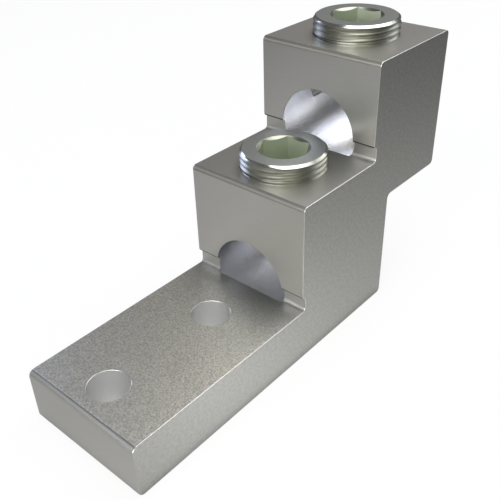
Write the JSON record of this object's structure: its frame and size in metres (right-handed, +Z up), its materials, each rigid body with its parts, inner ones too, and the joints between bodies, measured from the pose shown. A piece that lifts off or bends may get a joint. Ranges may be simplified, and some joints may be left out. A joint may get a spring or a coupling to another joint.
{
  "type": "panelboard lug",
  "caption": "Stepped extruded mechanical lug with a flat bolting tongue, stacked wire ports and hex-socket set screws.",
  "frame": {"origin": "middle of the line between the two bolt holes, on the flat underside", "axes": "+X from the tongue toward the tall end, along the wire ports; +Y across the sawn width; +Z up, along the bolt holes and set screws"},
  "size_m": [0.1253, 0.0382, 0.0803],
  "materials": {
    "lug_body": "tin-plated extrusion, satin, with a finely blasted tongue",
    "set_screw": "tin-plated, turned, brighter than the body"
  },
  "bodies": {
    "lug": {"lug_body": "lug_body"},
    "lower_screw": {"lower_set_screw": "set_screw"},
    "upper_screw": {"upper_set_screw": "set_screw"}
  },
  "joints": [
    {"name": "lower_screw_travel", "type": "slide", "parent": "lug", "child": "lower_screw", "axis": [0, 0, 1], "range_m": [-0.011, 0.012]},
    {"name": "upper_screw_travel", "type": "slide", "parent": "lug", "child": "upper_screw", "axis": [0, 0, 1], "range_m": [-0.011, 0.006]}
  ]
}
